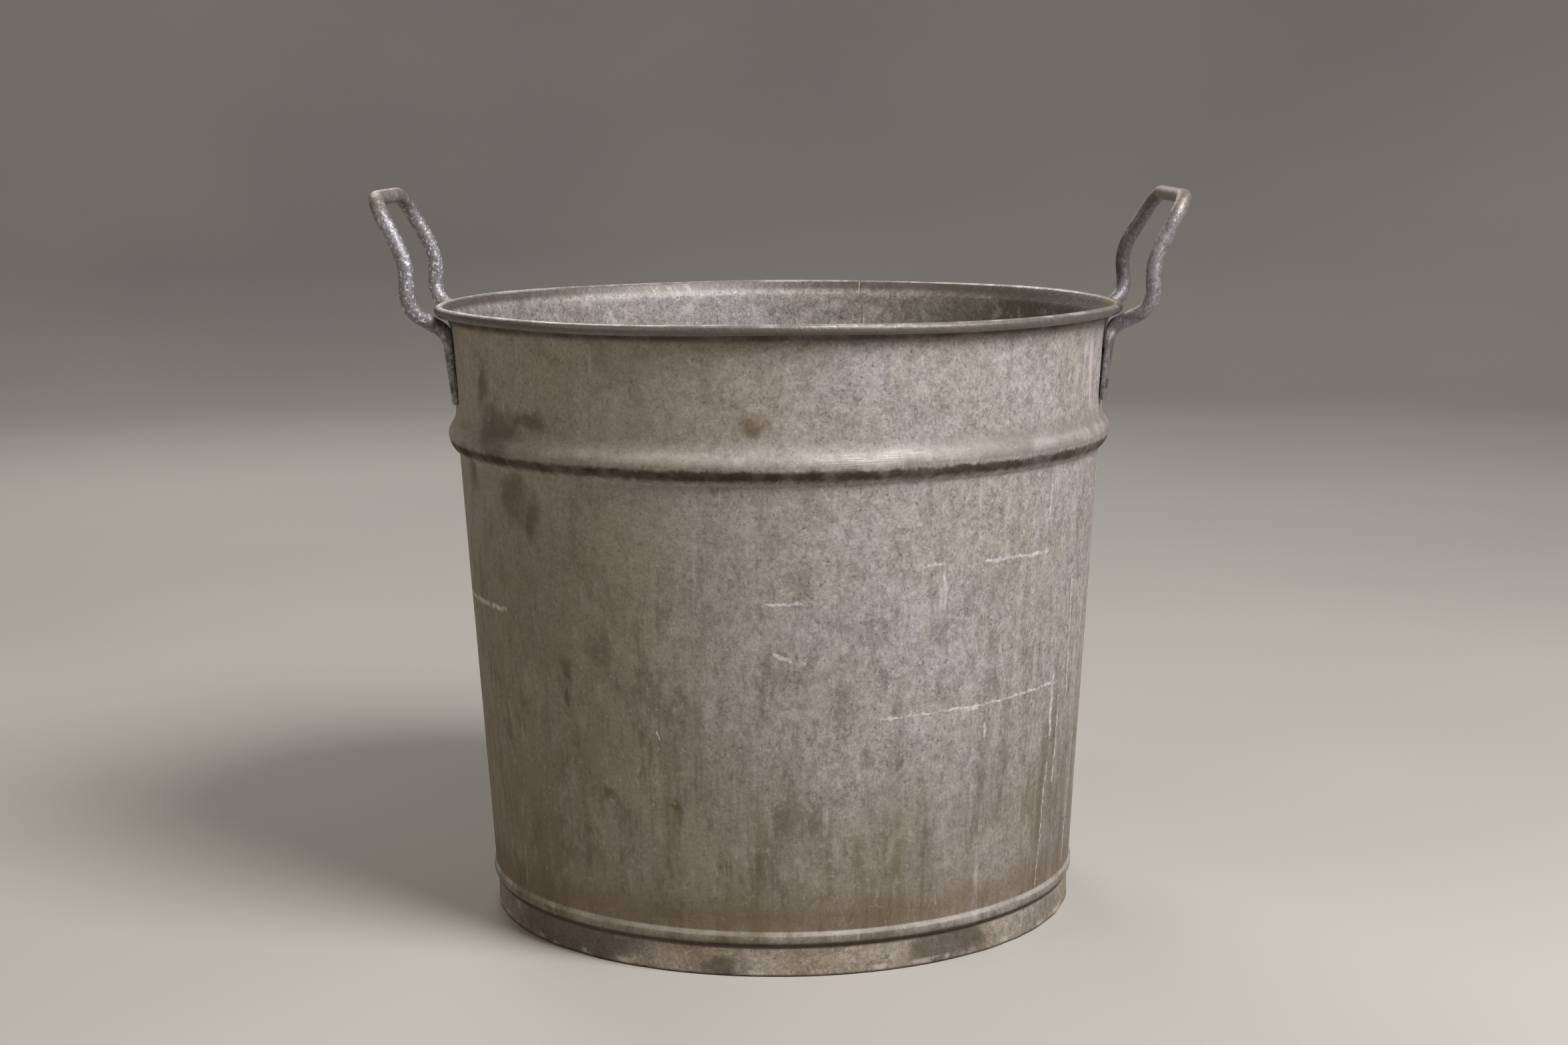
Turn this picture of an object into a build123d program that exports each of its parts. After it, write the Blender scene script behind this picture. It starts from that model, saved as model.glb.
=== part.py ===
from build123d import *
from math import acos, asin, atan2, cos, degrees, radians, sin, sqrt, tan
import os

# Galvanised feed basket: a tapered sheet-steel tub on a foot ring, with a wired rim and two
# upright bar handles riveted to the wall. Millimetres, +Z up. The origin is on the floor, under
# the middle of the tub. The handles stand at +X and -X.

# Tub
tub_height = 398.0  # floor to the top of the rim roll
rim_radius = 225.0  # axis to the outside of the rim roll
wall_slope = 3.51  # degrees that the wall leans outwards
wall_sheet = 1.0  # thickness of the wall's sheet
wire_diameter = 4.4  # wire inside the rim roll
rim_overhang = 9.2  # how far the rim roll stands out over the wall just under it
flare_drop = 10.5  # rim top to the bend where the wall flares out to the roll
curl_end = -140.0  # degrees round the wire, from +X outwards, where the curled edge stops

# Upper bead, placed from the rim top
upper_bead_drop = 82.5  # rim top to the bead's crest
upper_bead_proud = 6.0  # how far the crest stands out of the wall
upper_bead_under = 15.0  # radius of the flank under the crest, which ends in a crease
upper_bead_over = 9.0  # radius of the crest's upper side
upper_bead_blend = 14.0  # radius of the hollow that leads back to the wall

# Lower bead and foot ring, placed from the floor
lower_bead_height = 24.5  # floor to the bead's crest
lower_bead_proud = 1.6
lower_bead_radius = 7.5
lip_height = 19.5  # floor to the wall's bottom edge
foot_sheet = 1.2
hem_height = 7.0  # height of the foot ring's folded edge
hem_gap = 0.2  # space inside the fold
hem_corner = 0.8
foot_lap = 18.0  # overlap of the foot ring's two ends
lap_root = foot_sheet / 2  # how deep the lap's inner layer is set into the band

# Bottom disc
bottom_sheet = 1.0
panel_inset = 14.0  # disc edge to the step round the raised middle
panel_rise = 3.0
panel_step = 4.0  # width of the sloping step
panel_bend = 3.0  # radius of the step's bends

# Vertical lock seam of the wall
seam_azimuth = 75.0  # degrees from +X
seam_width = 7.0
seam_proud = 1.4
seam_end_gap = 2.0  # from the seam's ends to the lower bead and to the flare

# Handles: one round bar each, with its two ends hammered flat as feet
bar_diameter = 9.5
leg_spacing = 136.0  # between the two legs' centrelines where they stand upright
grip_spacing = 125.0  # the same at the grip
foot_spacing = 106.0  # between the middles of the two feet
elbow_stand_off = 20.1  # rim roll's outside to the upright legs' centreline, outwards
elbow_rise = 0.5  # rim top to the bend outside the rim
shoulder_rise = 29.0  # rim top to the bend where the leg starts to lean out
grip_rise = 68.0  # rim top to the grip's centreline
grip_lean = 21.0  # how far the grip stands out past the upright legs
elbow_bend = 9.0  # radii of the bar's bends, along its centreline
shoulder_bend = 22.0
grip_bend = 17.0
foot_width = 15.5
foot_thickness = 4.3
foot_length = 40.0
foot_corner = 5.0
foot_bend = 6.0  # from the corner above the foot down to the flat foot and out to the round bar

# Rivets, two through each foot
rivet_diameter = 5.0
rivet_spacing = 20.0
rivet_head_diameter = 9.5
rivet_head_height = 2.0
countersink_diameter = 7.6  # where the rivet is hammered flush with the foot
countersink_angle = 90.0  # degrees

# Clearances
fit = 0.1  # between pieces that lie against each other
rim_gap = 1.5  # handle bar to the rim roll
wire_fit = 0.05  # round the wire
rivet_fit = 0.05  # round a rivet

# Worked out from the dimensions above
lean = radians(wall_slope)
flare_height = tub_height - flare_drop
curl_radius = wire_diameter / 2 + wire_fit
roll_radius = curl_radius + wall_sheet
wire_centre = Vector(rim_radius - roll_radius, tub_height - roll_radius)
upper_bead_height = tub_height - upper_bead_drop


def wall_radius(height, depth=0):
    """Radius of the plain tapered wall at a depth under its outside face."""
    return rim_radius - rim_overhang - (flare_height - height) * tan(lean) - depth / cos(lean)


def polar(angle, radius):
    """Offset at an angle in degrees, in a section's own plane."""
    return Vector(radius * cos(radians(angle)), radius * sin(radians(angle)))


def where_arc_meets_wall(centre, radius, depth, way):
    """Point above (+1) or below (-1) the centre where a bead's round flank runs into the wall."""
    across = wall_radius(centre.Y, depth) - centre.X
    run = 1 + tan(lean) ** 2
    rise = (way * sqrt(run * radius**2 - across**2) - across * tan(lean)) / run
    return Vector(wall_radius(centre.Y + rise, depth), centre.Y + rise)


upper_crest = Vector(wall_radius(upper_bead_height) + upper_bead_proud, upper_bead_height)
upper_under_centre = upper_crest - Vector(upper_bead_under, 0)
blend_cosine = upper_bead_blend + (upper_bead_over - upper_bead_proud) * cos(lean)
blend_turn = degrees(acos(blend_cosine / (upper_bead_over + upper_bead_blend)))
lower_crest = Vector(wall_radius(lower_bead_height) + lower_bead_proud, lower_bead_height)
lower_centre = lower_crest - Vector(lower_bead_radius, 0)
lip_angle = degrees(asin((lip_height - lower_bead_height) / lower_bead_radius))
lower_bead_top = where_arc_meets_wall(lower_centre, lower_bead_radius, 0, 1)

to_wire = wire_centre - Vector(wall_radius(flare_height), flare_height)
flare_angle = degrees(atan2(to_wire.Y, to_wire.X) + asin(curl_radius / to_wire.length))
curl_start = flare_angle + 90


def wall_over_bead(start, end_height, depth):
    """Wall from a point up to a height, over the upper bead, at a depth under the outside face."""
    crest = upper_crest - Vector(depth, 0)
    crease = where_arc_meets_wall(upper_under_centre, upper_bead_under - depth, depth, -1)
    end = Vector(wall_radius(end_height, depth), end_height)
    Line(start, crease)
    RadiusArc(crease, crest, upper_bead_under - depth)
    over = JernArc(crest, (0, 1), upper_bead_over - depth, blend_turn - wall_slope)
    blend = JernArc(over @ 1, over % 1, upper_bead_blend + depth, -blend_turn)
    Line(blend @ 1, end)
    return end


def whole_wall(depth):
    """Wall from its lip to its curled edge, at a depth under the outside face. Returns both ends."""
    bead_radius = lower_bead_radius - depth
    bead_start = lower_centre + polar(lip_angle, bead_radius)
    bead_end = where_arc_meets_wall(lower_centre, bead_radius, depth, 1)
    ThreePointArc(bead_start, lower_crest - Vector(depth, 0), bead_end)

    flare_end = wire_centre + polar(curl_start, curl_radius + depth)
    flare_way = polar(flare_angle, 1)
    overhang = flare_end.X - wall_radius(flare_end.Y, depth)
    flare_run = overhang / (flare_way.X - flare_way.Y * tan(lean))
    flare_start = wall_over_bead(bead_end, flare_end.Y - flare_way.Y * flare_run, depth)
    Line(flare_start, flare_end)
    CenterArc(wire_centre, curl_radius + depth, start_angle=curl_start, arc_size=curl_end - curl_start)
    return bead_start, wire_centre + polar(curl_end, curl_radius + depth)


def radial_plane(azimuth):
    """Upright plane through the tub's axis, with its own X outwards and its Y up."""
    out = Vector(cos(radians(azimuth)), sin(radians(azimuth)), 0)
    return Plane(origin=(0, 0, 0), x_dir=out, z_dir=out.cross(Vector(0, 0, 1)))


# Handle legs: each runs from its upright part down past the rim roll to the line of its foot
elbow_radius = rim_radius + elbow_stand_off
elbow_height = tub_height + elbow_rise
from_wire = Vector(elbow_radius, elbow_height) - wire_centre
past_roll = roll_radius + rim_gap + bar_diameter / 2
leg_angle = atan2(from_wire.Y, from_wire.X) + asin(past_roll / from_wire.length)
bar_depth = -fit - bar_diameter / 2
leg_reach = elbow_radius - wall_radius(elbow_height, bar_depth)
bend_height = elbow_height - leg_reach * tan(leg_angle) / (1 - tan(leg_angle) * tan(lean))

# Handle feet: each has a plane against the wall's outside, with its Z out of the wall and its Y up
bend_rise = foot_length / 2 + foot_bend
foot_middle = bend_height - bend_rise * cos(lean) - bar_depth * sin(lean)
foot_azimuth = asin(foot_spacing / 2 / (wall_radius(foot_middle) + bar_diameter / 2))


def foot_plane(side, end):
    """Plane of the foot at the right (+1) or left (-1) handle's rear (+1) or front (-1) leg."""
    out = Vector(side * cos(foot_azimuth), end * sin(foot_azimuth), 0)
    origin = out * wall_radius(foot_middle) + Vector(0, 0, foot_middle)
    normal = out * cos(lean) - Vector(0, 0, sin(lean))
    return Plane(origin=origin, x_dir=Vector(0, 0, 1).cross(out), z_dir=normal)


foot_planes = {side: [foot_plane(side, end) for end in (1, -1)] for side in (1, -1)}

# Wall: the sheet's section turned round the axis, with the lock seam as a thicker strip
seam_arc = degrees(seam_width / wall_radius(upper_bead_height))
seam_ends = (lower_bead_top.Y + seam_end_gap, flare_height - seam_end_gap)

with BuildPart() as body_wall:
    with BuildSketch(Plane.XZ):
        with BuildLine():
            outside = whole_wall(0)
            inside = whole_wall(wall_sheet)
            Line(outside[0], inside[0])
            Line(outside[1], inside[1])
        make_face()
    revolve(axis=Axis.Z)
    with BuildSketch(radial_plane(seam_azimuth)):
        with BuildLine():
            depths = (-seam_proud, wall_sheet / 2)
            lows = [Vector(wall_radius(seam_ends[0], depth), seam_ends[0]) for depth in depths]
            highs = [wall_over_bead(low, seam_ends[1], depth) for low, depth in zip(lows, depths)]
            Line(*lows)
            Line(*highs)
        make_face()
    revolve(axis=Axis.Z, revolution_arc=seam_arc)
    for plane in foot_planes[1] + foot_planes[-1]:
        with BuildSketch(plane):
            with GridLocations(0, rivet_spacing, 1, 2):
                Circle(rivet_diameter / 2 + rivet_fit)
        extrude(amount=rivet_diameter, both=True, mode=Mode.SUBTRACT)

# Wire: a closed ring inside the curled edge
with BuildPart() as rim_wire:
    with BuildSketch(Plane.XZ):
        with Locations(wire_centre):
            Circle(wire_diameter / 2)
    revolve(axis=Axis.Z)

# Bottom disc: its edge lies in the lower bead's groove, on top of the foot ring
groove_radius = lower_bead_radius - wall_sheet
groove_reach = sqrt(groove_radius**2 - (bottom_sheet / 2) ** 2)
disc_radius = lower_centre.X + groove_reach - fit
disc_height = lower_bead_height - bottom_sheet / 2
panel_radius = disc_radius - panel_inset

with BuildPart() as bottom_disc:
    with BuildSketch(Plane.XZ):
        with BuildLine():
            FilletPolyline(
                (0, disc_height + panel_rise),
                (panel_radius - panel_step, disc_height + panel_rise),
                (panel_radius, disc_height),
                (disc_radius, disc_height),
                radius=panel_bend,
            )
            offset(amount=bottom_sheet, side=Side.LEFT)
        make_face()
    revolve(axis=Axis.Z)

# Foot ring: a band with its lower edge folded inwards, and its two ends lapped under the seam
foot_radius = lower_centre.X + polar(lip_angle, lower_bead_radius - wall_sheet).X - fit
band_inside = foot_radius - foot_sheet
hem_outside = band_inside - hem_gap
lap_arc = degrees(foot_lap / band_inside)

with BuildPart() as foot_ring:
    with BuildSketch(Plane.XZ) as band:
        with Locations((foot_radius, 0)):
            Rectangle(foot_sheet, disc_height, align=(Align.MAX, Align.MIN))
            Rectangle(2 * foot_sheet + hem_gap, foot_sheet, align=(Align.MAX, Align.MIN))
        with Locations((hem_outside, 0)):
            Rectangle(foot_sheet, hem_height, align=(Align.MAX, Align.MIN))
        fillet(band.vertices().group_by(Axis.Y)[0], radius=hem_corner)
    revolve(axis=Axis.Z)
    with BuildSketch(radial_plane(seam_azimuth)):
        with Locations((band_inside + lap_root, hem_height / 2)):
            Rectangle(foot_sheet + lap_root, disc_height - hem_height / 2, align=(Align.MAX, Align.MIN))
    revolve(axis=Axis.Z, revolution_arc=lap_arc)

# Right handle: from the rear foot over the rim to the grip, and back down to the front foot
leg_y = leg_spacing / 2
elbow_x = sqrt(elbow_radius**2 - leg_y**2)
elbow = Vector(elbow_x, leg_y, elbow_height)
shoulder = Vector(elbow_x, leg_y, tub_height + shoulder_rise)
grip_end = Vector(elbow_x + grip_lean, grip_spacing / 2, tub_height + grip_rise)
foot_turn = foot_planes[1][0].from_local_coords(Vector(0, bend_rise, -bar_depth))
leg_way = (elbow - foot_turn).normalized()
rear_leg = [foot_turn + leg_way * foot_bend, elbow, shoulder, grip_end]
leg_bends = [elbow_bend, shoulder_bend, grip_bend]


def at_front(point):
    """The same point or direction at the front leg."""
    return Vector(point.X, -point.Y, point.Z)


front_leg = [at_front(point) for point in reversed(rear_leg)]
bar_ends = [Plane(origin=rear_leg[0], z_dir=leg_way), Plane(origin=front_leg[-1], z_dir=at_front(leg_way))]

with BuildPart() as right_handle:
    with BuildLine() as bar_line:
        FilletPolyline(*rear_leg, *front_leg, radius=leg_bends + leg_bends[::-1])
    with BuildSketch(bar_ends[0]):
        Circle(bar_diameter / 2)
    sweep(path=bar_line.line)
    for plane, bar_end in zip(foot_planes[1], bar_ends):
        with BuildSketch(plane.offset(fit)) as foot:
            Rectangle(foot_width, foot_length)
            fillet(foot.vertices().group_by(Axis.Y)[0], radius=foot_corner)
        extrude(amount=foot_thickness)
        across_foot = Plane(origin=plane.origin, x_dir=plane.x_dir, z_dir=plane.y_dir)
        with BuildSketch(across_foot.offset(foot_length / 2)):
            with Locations((0, -fit)):
                Rectangle(foot_width, foot_thickness, align=(Align.CENTER, Align.MAX))
        with BuildSketch(bar_end):
            Circle(bar_diameter / 2)
        loft()
        with Locations(plane.offset(fit + foot_thickness)):
            with GridLocations(0, rivet_spacing, 1, 2):
                CounterSinkHole(
                    radius=rivet_diameter / 2 + rivet_fit,
                    counter_sink_radius=countersink_diameter / 2 + rivet_fit,
                    counter_sink_angle=countersink_angle,
                    depth=foot_thickness,
                )

with BuildPart() as left_handle:
    mirror(right_handle.part, about=Plane.YZ)

# Rivet on its own axis, from the wall's outside at Z = 0: low domed head inside, flush cone outside
rivet_radius = rivet_diameter / 2
head_radius = rivet_head_diameter / 2
head_seat = -wall_sheet - fit
rivet_top = fit + foot_thickness
cone_depth = (countersink_diameter / 2 - rivet_radius) / tan(radians(countersink_angle / 2))
dome_radius = (head_radius**2 + rivet_head_height**2) / (2 * rivet_head_height)
dome_centre = head_seat - rivet_head_height + dome_radius
dome_arc = degrees(asin(head_radius / dome_radius))

with BuildPart() as rivet:
    with BuildSketch(Plane.XZ):
        with BuildLine():
            Polyline(
                (head_radius, head_seat),
                (rivet_radius, head_seat),
                (rivet_radius, rivet_top - cone_depth),
                (countersink_diameter / 2, rivet_top),
                (0, rivet_top),
                (0, head_seat - rivet_head_height),
            )
            CenterArc((0, dome_centre), dome_radius, start_angle=-90, arc_size=dome_arc)
        make_face()
    revolve(axis=Axis.Z)


def handle_rivets(planes):
    """The four rivets of one handle, two through each foot."""
    with BuildPart() as rivets:
        with Locations(*planes):
            with GridLocations(0, rivet_spacing, 1, 2):
                add(rivet.part)
    return rivets


right_handle_rivets = handle_rivets(foot_planes[1])
left_handle_rivets = handle_rivets(foot_planes[-1])

pieces = {
    "body_wall": body_wall,
    "rim_wire": rim_wire,
    "bottom_disc": bottom_disc,
    "foot_ring": foot_ring,
    "left_handle": left_handle,
    "right_handle": right_handle,
    "left_handle_rivets": left_handle_rivets,
    "right_handle_rivets": right_handle_rivets,
}

os.makedirs("parts", exist_ok=True)
for name, piece in pieces.items():
    piece.part.label = name
    export_step(piece.part, f"parts/{name}.step")
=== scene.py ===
from math import acos, cos, degrees, radians, sin, sqrt, tan

import bmesh
import bpy
import numpy as np
from mathutils import Matrix, Vector


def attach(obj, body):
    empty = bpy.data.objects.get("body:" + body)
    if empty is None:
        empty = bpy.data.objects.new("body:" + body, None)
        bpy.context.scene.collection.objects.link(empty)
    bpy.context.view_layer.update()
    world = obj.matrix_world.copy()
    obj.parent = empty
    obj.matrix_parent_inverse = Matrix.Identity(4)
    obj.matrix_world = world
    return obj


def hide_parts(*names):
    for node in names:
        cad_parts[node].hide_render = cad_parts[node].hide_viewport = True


# Weathered galvanised feed basket. Shapes are worked out in millimetres in the CAD part's frame
# and turned to metres when a mesh is made. Azimuth is counted from the front (-Y) towards +X.

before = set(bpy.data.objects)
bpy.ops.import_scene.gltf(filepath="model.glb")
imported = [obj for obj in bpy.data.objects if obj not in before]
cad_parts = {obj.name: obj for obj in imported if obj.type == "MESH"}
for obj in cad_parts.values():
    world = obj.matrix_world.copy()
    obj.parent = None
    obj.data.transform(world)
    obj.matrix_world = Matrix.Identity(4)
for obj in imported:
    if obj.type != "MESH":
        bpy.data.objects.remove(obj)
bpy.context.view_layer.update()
SCENE = bpy.context.scene.collection
MM = 0.001
MEAN_RADIUS = 205.0  # marks, dents and the seam are laid out along the wall at this radius, in mm


# ---------------------------------------------------------------- camera

CAMERA_PLACE = (0, -1.677, 0.508)
CAMERA_PAN = -0.08  # degrees, as are the next two
CAMERA_DROP = 8.76
CAMERA_ROLL = -0.46

camera_data = bpy.data.cameras.new("camera")
camera_data.sensor_width = 36
camera_data.lens = 58.42
camera = bpy.data.objects.new("camera", camera_data)
SCENE.objects.link(camera)
camera.matrix_world = (
    Matrix.Translation(CAMERA_PLACE)
    @ Matrix.Rotation(radians(CAMERA_PAN), 4, "Z")
    @ Matrix.Rotation(radians(90 - CAMERA_DROP), 4, "X")
    @ Matrix.Rotation(radians(CAMERA_ROLL), 4, "Z")
)
bpy.context.scene.camera = camera


# ---------------------------------------------------------------- materials


def unrolled(azimuth, height):
    """Place on the unrolled wall, in metres, of an azimuth in degrees and a height in mm."""
    return Vector((radians(azimuth) * MEAN_RADIUS * MM, height * MM, 0))


class Paint:
    """A node material, with short calls for the nodes that it is made of."""

    def __init__(self, name, metallic, roughness, specular=0.5):
        self.material = bpy.data.materials.new(name)
        self.material.use_nodes = True
        self.nodes = self.material.node_tree.nodes
        self.surface = self.nodes["Principled BSDF"]
        self.surface.inputs["Metallic"].default_value = metallic
        self.surface.inputs["Roughness"].default_value = roughness
        self.surface.inputs["Specular IOR Level"].default_value = specular
        coordinates = self.nodes.new("ShaderNodeTexCoord")
        self.place = coordinates.outputs["Object"]
        axes = self.add("ShaderNodeSeparateXYZ", self.place).node
        self.x, self.y, self.height = axes.outputs
        self.azimuth = self.math("ARCTAN2", self.x, self.math("MULTIPLY", self.y, -1))
        along = self.math("MULTIPLY", self.azimuth, MEAN_RADIUS * MM)
        self.map = self.add("ShaderNodeCombineXYZ", along, self.height, 0)

    def link(self, output, socket):
        self.material.node_tree.links.new(output, socket)

    def fill(self, sockets, values):
        """Links or sets each socket. One whose value is None keeps its own."""
        for socket, value in zip(sockets, values):
            if isinstance(value, bpy.types.NodeSocket):
                self.link(value, socket)
            elif value is not None:
                socket.default_value = value

    def add(self, kind, *inputs, **settings):
        """A node with its first sockets filled, in order. Returns its first output."""
        node = self.nodes.new(kind)
        for key, value in settings.items():
            setattr(node, key, value)
        self.fill(node.inputs, inputs)
        return node.outputs[0]

    def math(self, operation, *inputs):
        return self.add("ShaderNodeMath", *inputs, operation=operation)

    def vector(self, operation, *inputs):
        return self.add("ShaderNodeVectorMath", *inputs, operation=operation)

    def step(self, value, low, high, start=0.0, end=1.0):
        """Smooth step from start at low to end at high."""
        kind = "SMOOTHSTEP"
        return self.add("ShaderNodeMapRange", value, low, high, start, end, interpolation_type=kind)

    def noise(self, scale, detail=4.0, roughness=0.55, stretch=(1, 1, 1), offset=0.0, place=None):
        """Noise over the object, in features a metre. A stretch below 1 draws it out along an axis."""
        if place is None:
            place = self.add("ShaderNodeMapping", self.place, (offset, offset, offset), None, stretch)
        node = self.nodes.new("ShaderNodeTexNoise")
        self.link(place, node.inputs["Vector"])
        node.inputs["Scale"].default_value = scale
        node.inputs["Detail"].default_value = detail
        node.inputs["Roughness"].default_value = roughness
        return node.outputs[0]

    def mix(self, factor, first, second, blend="MIX"):
        node = self.nodes.new("ShaderNodeMix")
        node.data_type = "RGBA"
        node.blend_type = blend
        # Of a colour mix, input 0 is the factor, 6 and 7 are the colours, and output 2 is the result
        self.fill((node.inputs[0], node.inputs[6], node.inputs[7]), (factor, first, second))
        return node.outputs[2]

    def product(self, *values):
        result = values[0]
        for value in values[1:]:
            result = self.math("MULTIPLY", result, value)
        return result

    def highest(self, values):
        result = values[0]
        for value in values[1:]:
            result = self.math("MAXIMUM", result, value)
        return result

    def warped_map(self, scale, amount, offset=0.0):
        """Unrolled position on the tub (arc, height), pushed about so that marks get ragged edges."""
        pushes = []
        for start in (offset, offset + 5.3):
            push = self.noise(scale, 3.0, 0.6, offset=start)
            pushes.append(self.math("MULTIPLY", self.math("SUBTRACT", push, 0.5), amount))
        return self.vector("ADD", self.map, self.add("ShaderNodeCombineXYZ", *pushes, 0))

    def blot(self, place, azimuth, height, wide, tall, core=0.2):
        """Soft patch round an azimuth in degrees and a height in mm, with half sizes in mm."""
        off = self.vector("SUBTRACT", place, unrolled(azimuth, height))
        scaled = self.vector("DIVIDE", off, (wide * MM, tall * MM, 1))
        distance = self.vector("LENGTH", scaled).node.outputs["Value"]
        return self.step(distance, 1.0, core)

    def blots(self, place, spots):
        return self.highest([self.blot(place, *spot) for spot in spots])

    def scratch(self, place, start, end, width):
        """Thin line between two points, each an azimuth in degrees and a height in mm."""
        first = unrolled(*start)
        run = unrolled(*end) - first
        off = self.vector("SUBTRACT", place, first)
        along = self.vector("DOT_PRODUCT", off, run / run.length_squared).node.outputs["Value"]
        share = self.add("ShaderNodeClamp", along, 0.0, 1.0)
        scaled = self.nodes.new("ShaderNodeVectorMath")
        scaled.operation = "SCALE"
        scaled.inputs[0].default_value = run
        self.link(share, scaled.inputs["Scale"])
        left = self.vector("SUBTRACT", off, scaled.outputs[0])
        distance = self.vector("LENGTH", left).node.outputs["Value"]
        return self.step(distance, width * MM / 2, width * MM / 5)

    def finish(self, colour, roughness, bump, depth):
        """Links the surface's colour, roughness and a relief of that depth in metres."""
        self.link(colour, self.surface.inputs["Base Color"])
        self.link(roughness, self.surface.inputs["Roughness"])
        relief = self.nodes.new("ShaderNodeBump")
        relief.inputs["Distance"].default_value = depth
        self.link(bump, relief.inputs["Height"])
        self.link(relief.outputs[0], self.surface.inputs["Normal"])
        return self.material


def grey(red, green, blue):
    """Linear colour from display values, each channel 0 to 255."""
    return tuple((channel / 255) ** 2.2 for channel in (red, green, blue)) + (1.0,)


def zinc_mottle(paint, cool, warm, dark, light, contrast=1.0):
    """Clouded old zinc: cool and warm areas, a mottle of three sizes, dark specks and pale specks.
    Returns the colour and the middle size of the mottle."""
    clouds = paint.step(paint.noise(16, 5, 0.6, offset=2.0), 0.34, 0.66)
    colour = paint.mix(clouds, cool, warm)
    swing = (-0.5 * contrast, 0.5 * contrast)
    broad = paint.step(paint.noise(60, 5, 0.65, offset=7.0), 0.30, 0.70, *swing)
    middle = paint.step(paint.noise(170, 5, 0.72, offset=53.0), 0.30, 0.70, *swing)
    fine = paint.step(paint.noise(480, 6, 0.78), 0.35, 0.65, *swing)
    shade = paint.math("MULTIPLY_ADD", broad, 0.20, 1.0)
    shade = paint.math("MULTIPLY_ADD", middle, 0.42, shade)
    shade = paint.math("MULTIPLY_ADD", fine, 0.46, shade)
    tone = paint.add("ShaderNodeCombineXYZ", shade, shade, shade)
    colour = paint.mix(1.0, colour, tone, "MULTIPLY")
    specks = paint.step(paint.noise(380, 3, 0.6, offset=3.0), 0.60, 0.70)
    colour = paint.mix(paint.product(specks, 0.55), colour, dark)
    bright = paint.step(paint.noise(340, 3, 0.6, offset=11.0), 0.62, 0.69)
    colour = paint.mix(paint.product(bright, 0.45), colour, light)
    return colour, middle


def band(paint, low, high, under, over, level=None):
    """1 between two heights in mm, falling to 0 over so many mm under and over them."""
    level = level or paint.height
    rise = paint.step(level, (low - under) * MM, low * MM)
    fall = paint.step(level, (high + over) * MM, high * MM)
    return paint.math("MULTIPLY", rise, fall)


COOL = grey(160, 153, 154)
WARM = grey(157, 149, 143)
DARK = grey(70, 62, 54)
PALE = grey(205, 202, 196)
BROWN = grey(93, 85, 64)
OLIVE = grey(78, 70, 52)
# Dark brown of crease grime and of painted shade under the beads, the rim roll and the foot band's edges
GRIME_AND_SHADE = grey(52, 36, 15)

# Dark stains: azimuth in degrees, then height, half width and half height in mm
STAINS = [
    (-54, 330, 34, 20),
    (-60, 352, 16, 26),
    (-47, 333, 18, 12),
    (-52, 290, 18, 22),
    (-46, 278, 14, 16),
    (-66, 296, 16, 24),
    (-41, 178, 9, 22),
    (116, 120, 42, 30),
    (160, 330, 34, 22),
    (-128, 210, 26, 44),
]

# Rust spots, with the same four numbers
RUST_SPOTS = [
    (-4, 337, 12, 11),
    (-32, 109, 8, 6),
    (-19, 107, 6, 4),
    (143, 268, 14, 10),
]

# Scratches: azimuth in degrees and height in mm of each end, and width in mm
SCRATCHES = [
    ((17, 160), (60, 163), 2.0),
    ((37, 251), (53, 249.5), 3.2),
    ((28, 247), (28.5, 237), 2.6),
    ((25, 252), (28, 252.5), 2.4),
    ((-2.5, 232.5), (3, 233), 2.2),
    ((-1, 202), (1.5, 198), 3.4),
    ((33, 158), (36, 160), 4.0),
    ((58, 166), (58, 128), 3.6),
    ((61, 152), (61, 96), 2.2),
    ((38, 148), (38, 140), 2.4),
    ((53, 292), (53.5, 262), 1.8),
    ((64, 226), (65, 150), 1.9),
    ((58, 110), (56, 30), 1.8),
    ((72, 120), (70, 34), 2.0),
    ((-78, 212), (-57, 213), 4.2),
    ((-22, 152), (-21.6, 147), 1.6),
    ((102, 180), (131, 222), 1.8),
    ((-150, 140), (-118, 152), 2.0),
    ((170, 92), (176, 128), 1.6),
]


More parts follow.
